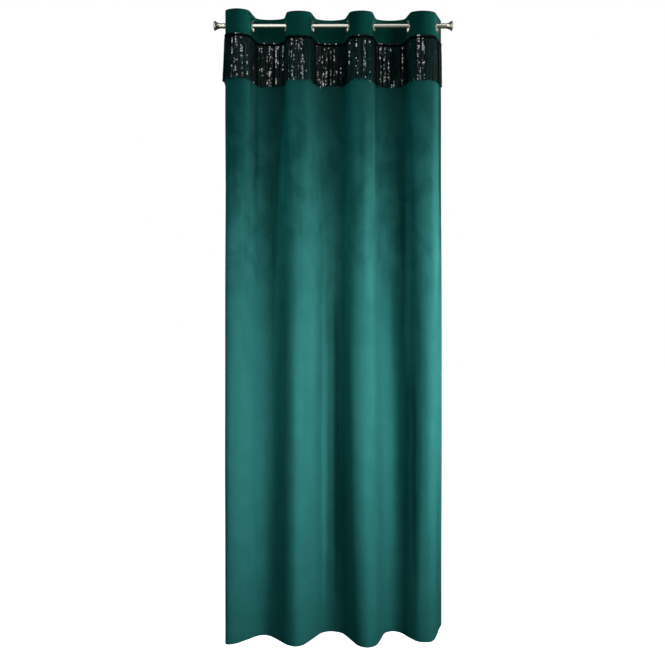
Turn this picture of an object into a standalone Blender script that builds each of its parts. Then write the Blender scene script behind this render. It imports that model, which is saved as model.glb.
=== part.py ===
"""Velvet eyelet curtain with a sequin fringe, gathered on its rod.

Metres, +Z up. The origin is on the rod's axis, halfway along it. The rod lies along X, and the room
side, where the fringe hangs, faces -Y.
"""

import math

import bmesh
import bpy
import numpy as np
from mathutils import Matrix

# Velvet panel, as it is cut
PANEL_WIDTH = 1.40
PANEL_DROP = 2.50
CLOTH = 0.002
TOP_EDGE = 0.0432

# Rod and finials
ROD_DIAMETER = 0.019
ROD_LENGTH = 0.868
FINIAL_LENGTH = 0.0455
FINIAL_FLARE = 0.040
FINIAL_NECK = 0.0215
FINIAL_GROOVE = 0.0185
COLLAR_END = 0.0125
GROOVE_SLOPE = 0.001
SWELL_START = 0.0163
SWELL_END = 0.0375
SWELL_POWER = 2.2
RIM_WIDTH = 0.0016
DOME_POWER = 0.9
SWELL_STEPS = 6
DOME_STEPS = 4
ROUND_STEPS = 24

# Eyelets, a front and a back ring pressed together through the cloth
EYELET_OUTER = 0.051
EYELET_BORE = 0.033
EYELET_BARREL = 0.0394
EYELET_CHEEK = 0.0015
EYELET_EDGE = (0.0022, 0.0002)
EYELET_LIP = 0.0010
EYELET_STEPS = 20
HANG_GAP = 0.0004

# Sequin fringe
FRINGE_TOP = -0.052
FRINGE_LENGTH = 0.180
FRINGE_UNEVEN = 0.004
TAPE_HEIGHT = 0.013
TAPE_GAP = 0.0009
FRINGE_THICKNESS = 0.0016
STRAND_COUNT = 150
STRAND_WIDTH = 0.0048
STRAND_STAND_OFF = 0.0022
STRAND_FALL_OFF = 0.0034
STRAND_FLARE = 0.0056
STRAND_BEND = 0.25
FRONT_DEPTH = 0.035

GAP = 0.0003
CUTTER_DEPTH = 0.02

# How the cloth bends: the straight run of a side, as fractions of it, and how full a fold's middle is
SIDE_BEND = 0.32
CROWN_FULLNESS = 1.30
CORNER_STEPS = 4
CROWN_STEPS = 3
SIDE_STEPS = 1
FINE = 6

# The plan of the cloth at four heights. A row is one fold, from left to right: the x of its two corners
# and its depth, in front of the rod where negative. The free edges are the x, y of the cloth's two sides,
# right_bend is how far along the last side the cloth still turns, and left_lead is how much deeper than
# its row the first corner is.
LEVELS = (
    {
        "z": -0.26,
        "left_edge": (-0.4312, 0.037),
        "right_edge": (0.4395, 0.066),
        "right_bend": 0.34,
        "left_lead": 1.0,
        "folds": (
            (-0.4250, -0.3340, -0.0630),
            (-0.3130, -0.1990, 0.0440),
            (-0.1830, -0.0915, -0.0420),
            (-0.0690, 0.0470, 0.0500),
            (0.0670, 0.1530, -0.0435),
            (0.1745, 0.2900, 0.0515),
            (0.3085, 0.4005, -0.0420),
        ),
    },
    {
        "z": -0.62,
        "left_edge": (-0.4335, 0.026),
        "right_edge": (0.4415, 0.072),
        "right_bend": 0.34,
        "left_lead": 1.2,
        "folds": (
            (-0.4215, -0.3450, -0.0570),
            (-0.3050, -0.2330, 0.0430),
            (-0.1820, -0.1020, -0.0480),
            (-0.0640, 0.0350, 0.0455),
            (0.0740, 0.1530, -0.0500),
            (0.1880, 0.2740, 0.0540),
            (0.3200, 0.4000, -0.0380),
        ),
    },
    {
        "z": -1.38,
        "left_edge": (-0.4345, 0.016),
        "right_edge": (0.4465, 0.094),
        "right_bend": 0.36,
        "left_lead": 1.3,
        "folds": (
            (-0.4200, -0.3640, -0.0510),
            (-0.3080, -0.2390, 0.0380),
            (-0.1820, -0.1160, -0.0570),
            (-0.0570, 0.0320, 0.0560),
            (0.0690, 0.1560, -0.0600),
            (0.2060, 0.2900, 0.0590),
            (0.3540, 0.4000, -0.0350),
        ),
    },
    {
        "z": TOP_EDGE - PANEL_DROP,
        "left_edge": (-0.4355, 0.027),
        "right_edge": (0.4515, 0.143),
        "right_bend": 0.42,
        "left_lead": 1.3,
        "folds": (
            (-0.4245, -0.3760, -0.0390),
            (-0.3080, -0.2555, 0.0315),
            (-0.1780, -0.1170, -0.0585),
            (-0.0500, 0.0375, 0.0615),
            (0.0960, 0.1710, -0.0645),
            (0.2090, 0.2770, 0.0620),
            (0.3330, 0.3990, -0.0255),
        ),
    },
)

# Heights of the panel's rows of faces below the fringe
LOWER_ROWS = 11

# Each finish: colour, roughness, metallic
VELVET = ((0.012, 0.120, 0.105), 0.85, 0.0)
SEQUIN = ((0.006, 0.007, 0.007), 0.30, 0.3)
STEEL = ((0.62, 0.59, 0.54), 0.28, 1.0)


def clear_scene():
    for old in list(bpy.data.objects):
        bpy.data.objects.remove(old, do_unlink=True)


def finish_of(name, look):
    colour, roughness, metallic = look
    material = bpy.data.materials.new(name)
    material.use_nodes = True
    shader = material.node_tree.nodes["Principled BSDF"]
    shader.inputs["Base Color"].default_value = (*colour, 1.0)
    shader.inputs["Roughness"].default_value = roughness
    shader.inputs["Metallic"].default_value = metallic
    return material


def object_of(name, bm, look, smooth_angle=35.0):
    """An object made from a bmesh, with its own material and its round faces shaded smooth."""
    mesh = bpy.data.meshes.new(name)
    bmesh.ops.recalc_face_normals(bm, faces=bm.faces)
    bm.to_mesh(mesh)
    bm.free()
    mesh.shade_smooth()
    mesh.set_sharp_from_angle(angle=math.radians(smooth_angle))
    made = bpy.data.objects.new(name, mesh)
    made.data.materials.append(finish_of(name, look))
    bpy.context.scene.collection.objects.link(made)
    return made


def eased(heights, values, z):
    """Values at height z, on a smooth curve through the rows of a table that runs downwards."""
    if z >= heights[0]:
        return values[0]
    slopes = np.gradient(values, heights, axis=0)
    slopes[0] = 0.0
    below = min(i for i in range(1, len(heights)) if z >= heights[i] - 1e-9)
    above = below - 1
    span = heights[below] - heights[above]
    t = (z - heights[above]) / span
    return (
        (2 * t**3 - 3 * t**2 + 1) * values[above]
        + (t**3 - 2 * t**2 + t) * span * slopes[above]
        + (3 * t**2 - 2 * t**3) * values[below]
        + (t**3 - t**2) * span * slopes[below]
    )


def fold_table(z):
    """The two free edges, the right bend, the left lead and the folds of the plan at height z."""
    heights = np.array([level["z"] for level in LEVELS])
    rows = [
        [*level["left_edge"], *level["right_edge"], level["right_bend"], level["left_lead"],
         *np.ravel(level["folds"])]
        for level in LEVELS
    ]
    row = eased(heights, np.array(rows), z)
    return row[0:2], row[2:4], row[4], row[5], row[6:].reshape(-1, 3)


def along(a, b, fraction):
    return a + (b - a) * fraction


def plan_controls(z, gather):
    """The bend points of the plan at height z, each with the steps that its curve takes."""
    left, right, right_bend, left_lead, folds = fold_table(z)
    corners = []
    for x_left, x_right, depth in folds:
        middle = 0.5 * (x_left + x_right)
        corners.append((np.array((x_left, depth)), np.array((middle, CROWN_FULLNESS * depth)),
                        np.array((x_right, depth))))
    corners[0][0][1] *= left_lead
    points = [(left, SIDE_STEPS), (along(left, corners[0][0], 1 - SIDE_BEND), SIDE_STEPS + 1)]
    for number, (start, crown, end) in enumerate(corners):
        points += [(start, CORNER_STEPS), (crown, CROWN_STEPS), (end, CORNER_STEPS)]
        if number + 1 < len(corners):
            following = corners[number + 1][0]
            points.append((along(end, following, SIDE_BEND), SIDE_STEPS))
            points.append((along(end, following, 1 - SIDE_BEND), SIDE_STEPS))
    points.append((along(corners[-1][2], right, right_bend), SIDE_STEPS + 1))
    points.append((right, SIDE_STEPS))
    return [(point * (1.0, gather), steps) for point, steps in points]


def plan_curve(z, gather, finer=1):
    """Points along the cloth's middle at height z, from its left edge to its right one."""
    controls = plan_controls(z, gather)
    places = [point for point, _ in controls]
    curve = [places[0]]
    for i in range(1, len(places) - 1):
        start = places[0] if i == 1 else 0.5 * (places[i - 1] + places[i])
        end = places[-1] if i == len(places) - 2 else 0.5 * (places[i] + places[i + 1])
        steps = controls[i][1] * finer
        for step in range(1, steps + 1):
            t = step / steps
            curve.append((1 - t) ** 2 * start + 2 * t * (1 - t) * places[i] + t**2 * end)
    return np.array(curve)


def length_of(curve):
    return float(np.hypot(*np.diff(curve, axis=0).T).sum())


def gather_at(z):
    """How deep the folds must be at height z for the cloth there to be as wide as it was cut."""
    low, high = 0.5, 1.6
    for _ in range(40):
        gather = 0.5 * (low + high)
        if length_of(plan_curve(z, gather, FINE)) < PANEL_WIDTH:
            low = gather
        else:
            high = gather
    return 0.5 * (low + high)


def normals_of(curve):
    """Unit normals of a plan curve, towards the room."""
    run = np.gradient(curve, axis=0)
    run /= np.linalg.norm(run, axis=1, keepdims=True)
    return np.column_stack([run[:, 1], -run[:, 0]])


class Heading:
    """The plan of the heading, read by the distance along the cloth from its left edge."""

    def __init__(self):
        self.curve = plan_curve(TOP_EDGE, gather_at(TOP_EDGE), FINE)
        self.normals = normals_of(self.curve)
        steps = np.hypot(*np.diff(self.curve, axis=0).T)
        self.run = np.concatenate([[0.0], np.cumsum(steps)])

    def point(self, distance, off):
        """The plan point at this distance, moved off the cloth's middle towards the room."""
        place = [np.interp(distance, self.run, self.curve[:, axis]) for axis in (0, 1)]
        normal = [np.interp(distance, self.run, self.normals[:, axis]) for axis in (0, 1)]
        normal = np.array(normal) / np.linalg.norm(normal)
        return np.array(place) + off * normal

    def forwardness(self, distance):
        """1 on the front of a fold, falling to 0 along its sides."""
        depth = np.interp(distance, self.run, self.curve[:, 1])
        return float(np.clip(-depth / FRONT_DEPTH - 0.5, 0.0, 1.0))

    def rod_crossings(self):
        """Where the cloth's middle crosses the rod's axis: the x, and the cloth's direction there."""
        found = []
        for a, b in zip(self.curve, self.curve[1:]):
            if (a[1] < 0.0) != (b[1] < 0.0):
                x = a[0] + (b[0] - a[0]) * a[1] / (a[1] - b[1])
                found.append((x, math.atan2(b[1] - a[1], b[0] - a[0])))
        return found


def panel_heights():
    heading = [TOP_EDGE, FRINGE_TOP, LEVELS[0]["z"]]
    lower = np.linspace(LEVELS[0]["z"], LEVELS[-1]["z"], LOWER_ROWS + 1)[1:]
    return heading + list(lower)


def velvet_panel(crossings):
    """The panel, one sheet in folds, with a round hole where each eyelet goes through it."""
    bm = bmesh.new()
    rows = []
    for z in panel_heights():
        curve = plan_curve(z, gather_at(z))
        rows.append([bm.verts.new((x, y, z)) for x, y in curve])
    for upper, lower in zip(rows, rows[1:]):
        for i in range(len(upper) - 1):
            bm.faces.new((upper[i], upper[i + 1], lower[i + 1], lower[i]))
    panel = object_of("velvet_panel", bm, VELVET, smooth_angle=60.0)
    solidify = panel.modifiers.new("cloth thickness", "SOLIDIFY")
    solidify.thickness = CLOTH
    solidify.offset = 0.0
    solidify.use_even_offset = True
    for number, (x, angle) in enumerate(crossings, 1):
        cut = panel.modifiers.new(f"hole {number}", "BOOLEAN")
        cut.operation = "DIFFERENCE"
        cut.object = hole_cutter(number, x, angle)
    return panel


def eyelet_place(x, angle):
    """The place of an eyelet whose axis is square to the cloth, hanging from the top of the rod."""
    drop = 0.5 * (EYELET_BORE - ROD_DIAMETER) - HANG_GAP
    across = Matrix.Rotation(angle - math.pi / 2, 4, "Z")
    lie_along_x = Matrix.Rotation(math.pi / 2, 4, "Y")
    return Matrix.Translation((x, 0.0, -drop)) @ across @ lie_along_x


def hole_cutter(number, x, angle):
    bm = bmesh.new()
    radius = 0.5 * EYELET_BARREL + GAP
    bmesh.ops.create_cone(
        bm, cap_ends=True, segments=EYELET_STEPS, radius1=radius, radius2=radius, depth=CUTTER_DEPTH
    )
    cutter = object_of(f"hole_cutter_{number}", bm, VELVET)
    cutter.matrix_world = eyelet_place(x, angle)
    cutter.hide_render = True
    cutter.display_type = "WIRE"
    return cutter


def turned(name, profile, steps, closed_profile=False):
    """A metal piece turned about Z from its profile, given as radius and height."""
    bm = bmesh.new()
    ring = [bm.verts.new((radius, 0.0, height)) for radius, height in profile]
    pairs = list(zip(ring, ring[1:]))
    if closed_profile:
        pairs.append((ring[-1], ring[0]))
    edges = [bm.edges.new(pair) for pair in pairs]
    bmesh.ops.spin(bm, geom=ring + edges, axis=(0, 0, 1), cent=(0, 0, 0), angle=2 * math.pi, steps=steps)
    bmesh.ops.remove_doubles(bm, verts=bm.verts, dist=1e-5)
    return object_of(name, bm, STEEL)


def eyelet(number, x, angle):
    """One eyelet: two rounded cheeks that hold the cloth in the groove between them."""
    bore = 0.5 * EYELET_BORE
    barrel = 0.5 * EYELET_BARREL
    outer = 0.5 * EYELET_OUTER
    groove = 0.5 * CLOTH + GAP
    face = groove + EYELET_CHEEK
    edge_run, edge_drop = EYELET_EDGE
    half = (
        (outer, groove),
        (outer - edge_run, face - edge_drop),
        (bore + EYELET_LIP, face),
        (bore, face - EYELET_LIP),
    )
    back = [(radius, -height) for radius, height in reversed(half)]
    profile = [(barrel, groove), *half, *back, (barrel, -groove)]
    ring = turned(f"eyelet_{number}", profile, EYELET_STEPS, closed_profile=True)
    ring.matrix_world = eyelet_place(x, angle)
    return ring


def rod():
    half = 0.5 * ROD_LENGTH
    radius = 0.5 * ROD_DIAMETER
    bar = turned("rod", [(0.0, -half), (radius, -half), (radius, half), (0.0, half)], ROUND_STEPS)
    bar.matrix_world = Matrix.Rotation(math.pi / 2, 4, "Y")
    return bar


def finial(name, side):
    """A grooved collar that opens into a trumpet with a domed end, on one end of the rod."""
    neck = 0.5 * FINIAL_NECK
    groove = 0.5 * FINIAL_GROOVE
    flare = 0.5 * FINIAL_FLARE
    foot = 0.5 * ROD_LENGTH + GAP
    # Radius, then distance from the rod's end
    profile = [
        (0.0, 0.0),
        (neck, 0.0),
        (neck, COLLAR_END),
        (groove, COLLAR_END + GROOVE_SLOPE),
        (groove, SWELL_START - GROOVE_SLOPE),
        (neck, SWELL_START),
    ]
    for step in range(1, SWELL_STEPS + 1):
        t = step / SWELL_STEPS
        profile.append((along(neck, flare, t**SWELL_POWER), along(SWELL_START, SWELL_END, t)))
    rim = SWELL_END + RIM_WIDTH
    profile.append((flare, rim))
    for step in range(1, DOME_STEPS):
        lean = 0.5 * math.pi * step / DOME_STEPS
        profile.append((flare * math.cos(lean) ** DOME_POWER, along(rim, FINIAL_LENGTH, math.sin(lean))))
    profile.append((0.0, FINIAL_LENGTH))
    end = turned(name, profile, ROUND_STEPS)
    turn = Matrix.Rotation(side * math.pi / 2, 4, "Y")
    end.matrix_world = Matrix.Translation((side * foot, 0.0, 0.0)) @ turn
    return end


def sequin_fringe(heading):
    """The tape along the heading, with the strings extruded from its lower edge."""
    pitch = PANEL_WIDTH / STRAND_COUNT
    back = 0.5 * CLOTH + TAPE_GAP
    front = back + FRINGE_THICKNESS
    breaks = [GAP]
    for number in range(STRAND_COUNT):
        middle = pitch * (number + 0.5)
        breaks += [middle - 0.5 * STRAND_WIDTH, middle + 0.5 * STRAND_WIDTH]
    breaks.append(PANEL_WIDTH - GAP)

    bm = bmesh.new()
    tape_foot = FRINGE_TOP - TAPE_HEIGHT
    sections = []
    for distance in breaks:
        corners = ((back, FRINGE_TOP), (front, FRINGE_TOP), (front, tape_foot), (back, tape_foot))
        sections.append([bm.verts.new((*heading.point(distance, off), z)) for off, z in corners])
    roots = []
    for number, (here, there) in enumerate(zip(sections, sections[1:])):
        for i in range(4):
            j = (i + 1) % 4
            if i == 2 and number % 2 == 1:
                roots.append((here[2], here[3], there[3], there[2]))
            else:
                bm.faces.new((here[i], here[j], there[j], there[i]))
    bm.faces.new(sections[0])
    bm.faces.new(list(reversed(sections[-1])))

    uneven = np.random.default_rng(5)
    for number, root in enumerate(roots):
        middle = pitch * (number + 0.5)
        fall = STRAND_FALL_OFF + STRAND_FLARE * heading.forwardness(middle)
        foot = FRINGE_TOP - FRINGE_LENGTH + uneven.uniform(-1.0, 1.0) * FRINGE_UNEVEN
        bend = along(tape_foot, foot, STRAND_BEND)
        hang_strand(bm, heading, root, middle, ((bend, STRAND_STAND_OFF), (foot, fall)))
    return object_of("sequin_fringe", bm, SEQUIN)


def hang_strand(bm, heading, root, middle, stations):
    """One string of four sides, from the four corners of its root down through its stations."""
    above = root
    left, right = middle - 0.5 * STRAND_WIDTH, middle + 0.5 * STRAND_WIDTH
    for z, stand_off in stations:
        back = 0.5 * CLOTH + stand_off
        front = back + FRINGE_THICKNESS
        corners = ((left, front), (left, back), (right, back), (right, front))
        below = [bm.verts.new((*heading.point(distance, off), z)) for distance, off in corners]
        for i in range(4):
            j = (i + 1) % 4
            bm.faces.new((above[i], above[j], below[j], below[i]))
        above = below
    bm.faces.new(above)


def main():
    clear_scene()
    heading = Heading()
    crossings = heading.rod_crossings()
    velvet_panel(crossings)
    for number, (x, angle) in enumerate(crossings, 1):
        eyelet(number, x, angle)
    sequin_fringe(heading)
    rod()
    finial("finial_left", -1)
    finial("finial_right", 1)


main()
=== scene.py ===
"""Looks of the velvet eyelet curtain: cloth, sequin fringe, eyelets, rod, light and camera.

Metres, +Z up. The rod lies along X through the origin, and the room side faces -Y.
"""

import math

import bpy
import numpy as np
from mathutils import Matrix, Vector


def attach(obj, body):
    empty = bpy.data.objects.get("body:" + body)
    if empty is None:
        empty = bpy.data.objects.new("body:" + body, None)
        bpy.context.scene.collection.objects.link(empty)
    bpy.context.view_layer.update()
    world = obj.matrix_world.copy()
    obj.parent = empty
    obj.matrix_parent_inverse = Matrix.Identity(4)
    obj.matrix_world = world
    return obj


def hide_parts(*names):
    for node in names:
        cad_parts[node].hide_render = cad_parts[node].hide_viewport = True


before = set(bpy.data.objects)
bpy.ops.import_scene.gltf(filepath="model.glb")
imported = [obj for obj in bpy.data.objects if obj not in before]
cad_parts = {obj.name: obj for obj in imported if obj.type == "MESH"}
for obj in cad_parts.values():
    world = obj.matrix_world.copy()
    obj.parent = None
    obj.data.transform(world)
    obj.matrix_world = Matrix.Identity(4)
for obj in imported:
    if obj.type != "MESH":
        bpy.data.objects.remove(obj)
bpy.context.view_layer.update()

# The photograph's view, in its own pixels
PHOTO_SIDE = 665
FOCAL_PX = 748.5
HORIZON_PX = 305.5
CENTRE_PX = 333.3
CAMERA_DISTANCE = 3.0
CAMERA_HEIGHT = -1.12
SENSOR = 36.0

# Velvet, as it is cut, and its turned edges
PANEL_WIDTH = 1.40
PANEL_DROP = 2.50
TOP_EDGE = 0.0432
BOTTOM_EDGE = TOP_EDGE - PANEL_DROP
PANEL_THICKNESS = 0.002
LAYER = 0.0009
LAYER_OFF = 0.0005
BACK_FACE = -LAYER_OFF - 0.5 * LAYER
HEADING_TURN = 0.094
HEM_TURN = 0.080
SIDE_HEM = 0.024
STITCH_STEP = 0.0042
STITCH_LENGTH = 0.0030
STITCH_IN = 0.0030
THREAD_RADIUS = 0.00022
RELIEF = 0.0012
SIDE_HEM_STEPS = 4

# Velvet's colour where its pile leans away and where it leans into the light, ends that also carry painted
# light and shade: down the drop, and on the heading a darker copy that is painted shade
VELVET_DEEP = (0.0080, 0.085, 0.081)
VELVET_LIT = (0.0480, 0.258, 0.240)
SHADED_HEADING_DEEP = (0.0040, 0.053, 0.045)
SHADED_HEADING_LIT = (0.0170, 0.168, 0.137)

# How far the outlines of the patches below wander across and up
WANDER = (0.012, 0.0, 0.24)

# Soft patches that make the velvet lighter or darker, set to bring its tone to the photo's. They are partly
# brushed pile and partly painted light and shade on the folds; the narrow ones are painted light and shade
# along a fold. A row is the x and z of a patch's middle, half its width and half its height, and how much
# lighter it is.
PILE_AND_SHADE_PATCHES = (
    (-0.385, -0.36, 0.080, 0.52, -0.40),
    (-0.424, -1.35, 0.014, 1.30, 0.60),
    (-0.311, -0.52, 0.014, 0.42, -0.38),
    (-0.125, -0.48, 0.035, 0.45, -0.16),
    (-0.080, -0.82, 0.060, 0.85, 0.26),
    (0.000, -0.93, 0.060, 0.36, 0.42),
    (-0.205, -0.72, 0.045, 0.42, 0.24),
    (-0.268, -1.62, 0.055, 1.00, 0.26),
    (0.145, -0.75, 0.040, 0.52, 0.26),
    (0.161, -0.42, 0.008, 0.50, 0.85),
    (0.178, -0.40, 0.016, 0.32, -0.14),
    (0.112, -0.60, 0.020, 0.40, -0.14),
    (0.286, -1.48, 0.052, 1.10, -0.52),
    (0.414, -0.62, 0.030, 0.65, 0.60),
    (0.033, -2.00, 0.036, 0.60, -0.30),
    (-0.210, -2.12, 0.036, 0.60, -0.14),
    (0.170, -1.90, 0.050, 0.70, -0.16),
    (-0.008, -1.42, 0.036, 0.36, 0.22),
    (-0.036, -1.62, 0.018, 1.00, 0.55),
    (0.012, -1.60, 0.018, 1.05, -0.50),
    (0.060, -0.90, 0.020, 0.60, 0.30),
    (-0.229, -1.12, 0.018, 0.50, 0.40),
    (0.325, -1.80, 0.012, 0.60, -0.50),
    (0.349, -1.72, 0.016, 0.75, 0.30),
    (0.302, -1.10, 0.018, 0.50, 0.40),
    (0.247, -1.15, 0.022, 0.36, -0.22),
    (0.428, -2.10, 0.016, 0.50, -0.24),
    (-0.240, -0.02, 0.050, 0.12, 0.60),
    (-0.020, -0.02, 0.060, 0.12, 0.50),
    (0.205, -0.02, 0.050, 0.12, 0.50),
    (0.080, 0.00, 0.030, 0.12, -0.30),
    (0.330, 0.00, 0.030, 0.12, -0.20),
)

# Rod, finials and eyelets
ROD_DIAMETER = 0.019
ROD_LENGTH = 0.868
FINIAL_LENGTH = 0.0455
FINIAL_FLARE = 0.040
FINIAL_NECK = 0.0215
FINIAL_GROOVE = 0.0185
EYELET_OUTER = 0.051
EYELET_BORE = 0.033
EYELET_BARREL = 0.0394
EYELET_CHEEK = 0.0015
HANG_GAP = 0.0004
EYELET_DROP = 0.5 * (EYELET_BORE - ROD_DIAMETER) - HANG_GAP
GAP = 0.0003
ROUND_SEGMENTS = 64
EDGE_ROUNDING = 0.0006
FINIAL_COLLAR = 0.0125
FINIAL_SWELL = 0.0163
FINIAL_RIM = 0.0375
FINIAL_LIP = 0.0016
FLARE_STEPS = 14
FLARE_POWER = 2.2
DOME_STEPS = 12
DOME_POWER = 0.9

# Sequin fringe
FRINGE_TOP = -0.052
FRINGE_LENGTH = 0.180
FRINGE_UNEVEN = 0.004
TAPE_HEIGHT = 0.013
TAPE_GAP = 0.0009
FRINGE_THICKNESS = 0.0016
STRAND_COUNT = 150
STRAND_STAND_OFF = 0.0022
STRAND_FALL_OFF = 0.0034
STRAND_FLARE = 0.0056
FRONT_DEPTH = 0.035
STRINGS_A_STRAND = 2
STRING_STAGGER = 0.0008
STRING_RADIUS = 0.0003
SEQUIN_RADIUS = 0.0026
SEQUIN_CUP = 0.02
SEQUIN_SHEET = 0.015
SEQUIN_STEP = 0.0044
TAPE_SEQUIN_STEP = 0.0058
STRING_TWIST = 0.55
MOST_TWIST = 1.00
SEQUIN_TWIST = 0.028
STRING_TILT = 0.06
SEQUIN_LEAN = -0.07
SEQUIN_TILT = 0.034
# Eight seeds were tried for the sequins' turns. This one's glints came closest to the photo's in
# brightness, seen from the front.
SEQUIN_SEED = 29
STRAND_SEED = 5
STRING_SEED = 8
SEQUIN_JITTER = 0.0002
ROW_TWIST = 0.12
ROW_LIFT = 0.0006
TAPE_COLUMNS = 560
TAPE_ROWS = 4
STRING_POINTS = 9

# The plan of the cloth at four heights. A row of folds is one fold, from left to right: the x of its two
# corners and its depth, in front of the rod where negative. The edges are the x, y of the cloth's two
# sides, right_bend is how far along the last side the cloth still turns, and left_lead is how much
# deeper than its row the first corner is.
LEVELS = (
    {
        "z": -0.26,
        "left_edge": (-0.4312, 0.037),
        "right_edge": (0.4395, 0.066),
        "right_bend": 0.34,
        "left_lead": 1.0,
        "folds": (
            (-0.4250, -0.3340, -0.0630),
            (-0.3130, -0.1990, 0.0440),
            (-0.1830, -0.0915, -0.0420),
            (-0.0690, 0.0470, 0.0500),
            (0.0670, 0.1530, -0.0435),
            (0.1745, 0.2900, 0.0515),
            (0.3085, 0.4005, -0.0420),
        ),
    },
    {
        "z": -0.62,
        "left_edge": (-0.4335, 0.026),
        "right_edge": (0.4415, 0.072),
        "right_bend": 0.34,
        "left_lead": 1.2,
        "folds": (
            (-0.4215, -0.3450, -0.0570),
            (-0.3050, -0.2330, 0.0430),
            (-0.1820, -0.1020, -0.0480),
            (-0.0640, 0.0350, 0.0455),
            (0.0740, 0.1530, -0.0500),
            (0.1880, 0.2740, 0.0540),
            (0.3200, 0.4000, -0.0380),
        ),
    },
    {
        "z": -1.38,
        "left_edge": (-0.4345, 0.016),
        "right_edge": (0.4465, 0.094),
        "right_bend": 0.36,
        "left_lead": 1.3,
        "folds": (
            (-0.4200, -0.3640, -0.0510),
            (-0.3080, -0.2390, 0.0380),
            (-0.1820, -0.1160, -0.0570),
            (-0.0570, 0.0320, 0.0560),
            (0.0690, 0.1560, -0.0600),
            (0.2060, 0.2900, 0.0590),
            (0.3540, 0.4000, -0.0350),
        ),
    },
    {
        "z": BOTTOM_EDGE,
        "left_edge": (-0.4355, 0.027),
        "right_edge": (0.4515, 0.143),
        "right_bend": 0.42,
        "left_lead": 1.3,
        "folds": (
            (-0.4245, -0.3760, -0.0390),
            (-0.3080, -0.2555, 0.0315),
            (-0.1780, -0.1170, -0.0585),
            (-0.0500, 0.0375, 0.0615),
            (0.0960, 0.1710, -0.0645),
            (0.2090, 0.2770, 0.0620),
            (0.3330, 0.3990, -0.0255),
        ),
    },
)
SIDE_BEND = 0.32
CROWN_FULLNESS = 1.30
BEND_STEPS = 12

# Studio: a backdrop that is brighter on the right, softboxes, and cards for the shiny pieces alone. A row
# is the stand's azimuth and height, the height it aims at, the size, the spread, the power and the colour.
# The backdrop's two values and the first seven softboxes' powers started from a fit of each light's own
# render to the photo. The other lights were set one by one.
BACKDROP_LEFT = 0.0
BACKDROP_RIGHT = 0.158
BACKDROP_COLOUR = (0.30, 1.0, 1.0)
LIGHT_DISTANCE = 2.6
FLOOR = -2.70
NEUTRAL = (1.0, 1.0, 1.0)
COOL = (0.25, 1.0, 1.02)
WARM = (1.2, 1.0, 0.97)
BLUISH = (0.85, 1.0, 1.03)
GREENISH = (0.7, 1.0, 1.0)
SOFTBOXES = {
    "low_key_softbox": ((45, -1.7), -1.6, (0.7, 0.7), 60, 3.4, BLUISH),
    "near_key_softbox": ((28, -1.7), -1.6, (0.7, 0.7), 60, 2.7, BLUISH),
    "edge_softbox": ((92, -1.2), -1.2, (0.7, 0.7), 60, 3.6, NEUTRAL),
    "side_softbox": ((60, -1.3), -1.3, (0.7, 0.7), 60, 2.7, WARM),
    "front_softbox": ((10, -1.3), -1.3, (0.7, 0.7), 60, 1.4, WARM),
    "high_right_softbox": ((50, 0.6), -0.8, (1.0, 1.0), 180, 4.9, GREENISH),
    "high_left_softbox": ((-60, 0.6), -0.8, (1.0, 1.0), 180, 13.0, COOL),
    "heading_softbox": ((87, 0.30), 0.18, (0.5, 0.5), 24, 1.3, NEUTRAL),
    "back_softbox": ((180, -0.6), -1.2, (1.6, 1.6), 180, 34.0, NEUTRAL),
    "back_left_softbox": ((215, -0.6), -1.2, (0.8, 0.8), 180, 18.0, NEUTRAL),
}
CARDS = {
    "front_card": ((-22, -0.1), 0.0, (2.4, 3.2), 180, 33.0, NEUTRAL, "metal"),
    "right_card": ((44, -0.1), 0.0, (1.0, 3.2), 180, 14.0, NEUTRAL, "metal"),
    "upper_card": ((0, 2.3), 0.0, (3.0, 2.0), 180, 31.0, NEUTRAL, "metal"),
    "left_side_card": ((-74, -0.1), 0.0, (1.6, 2.4), 180, 18.0, NEUTRAL, "metal"),
    "right_side_card": ((74, -0.1), 0.0, (1.6, 2.4), 180, 18.0, NEUTRAL, "metal"),
    "back_card": ((180, 0.3), 0.0, (2.4, 3.2), 180, 30.0, NEUTRAL, "metal"),
    "strip_far_left": ((-24, 1.10), -0.1, (0.15, 0.9), 180, 4.9, NEUTRAL, "sequins"),
    "strip_left": ((-7, 1.10), -0.1, (0.15, 0.9), 180, 4.1, NEUTRAL, "sequins"),
    "strip_right": ((14, 1.10), -0.1, (0.15, 0.9), 180, 2.6, NEUTRAL, "sequins"),
    "strip_far_right": ((36, 1.10), -0.1, (0.15, 0.9), 180, 3.2, NEUTRAL, "sequins"),
}

# Faces of the velvet sheet: across the cloth, and down each stretch of its turned length
COLUMNS = 280
TURN_ROWS = 4
BAND_ROWS = 22
UNDER_FRINGE_ROWS = 12
DROP_ROWS = 76
HEM_ROWS = 6


# Plan of the cloth


def eased(heights, values, z):
    """Values at height z, on a smooth curve through the rows of a table that runs downwards."""
    if z >= heights[0]:
        return values[0]
    slopes = np.gradient(values, heights, axis=0)
    slopes[0] = 0.0
    below = min(i for i in range(1, len(heights)) if z >= heights[i] - 1e-9)
    above = below - 1
    span = heights[below] - heights[above]
    t = (z - heights[above]) / span
    return (
        (2 * t**3 - 3 * t**2 + 1) * values[above]
        + (t**3 - 2 * t**2 + t) * span * slopes[above]
        + (3 * t**2 - 2 * t**3) * values[below]
        + (t**3 - t**2) * span * slopes[below]
    )


def along(a, b, fraction):
    return a + (b - a) * fraction


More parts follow.
